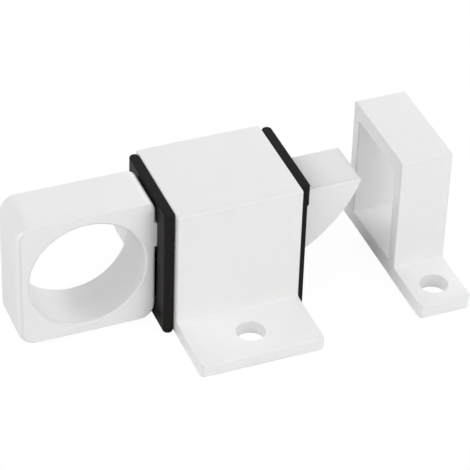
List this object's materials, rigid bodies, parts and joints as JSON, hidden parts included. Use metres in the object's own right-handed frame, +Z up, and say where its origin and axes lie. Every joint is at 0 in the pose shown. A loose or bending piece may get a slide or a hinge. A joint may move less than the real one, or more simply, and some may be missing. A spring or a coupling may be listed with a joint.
{
  "type": "sliding door spring latch",
  "caption": "Spring latch for a sliding door: a sprung bolt with a finger ring slides in a screw-on housing and shoots into a separate frame keeper.",
  "frame": {"origin": "midway between the housing's two screw holes, on the surface that the latch is screwed to", "axes": "+X along the bolt towards the keeper, +Y from front to back, +Z up from the mounting surface"},
  "size_m": [0.0763, 0.0445, 0.0252],
  "materials": {
    "white_plastic": "satin moulded white plastic",
    "black_plastic": "semi-gloss moulded black plastic",
    "spring_steel": "bright drawn wire"
  },
  "bodies": {
    "latch_case": {"housing": "white_plastic", "rear_end_plate": "black_plastic", "front_end_plate": "black_plastic", "base_cover": "black_plastic", "spring": "spring_steel", "keeper": "white_plastic"},
    "sliding_bolt": {"bolt": "white_plastic"}
  },
  "joints": [
    {"name": "bolt_slide", "type": "slide", "parent": "latch_case", "child": "sliding_bolt", "axis": [-1, 0, 0], "range_m": [0, 0.011], "stiffness_N_per_m": 800, "springref_m": -0.005, "deforming": ["spring"]}
  ]
}
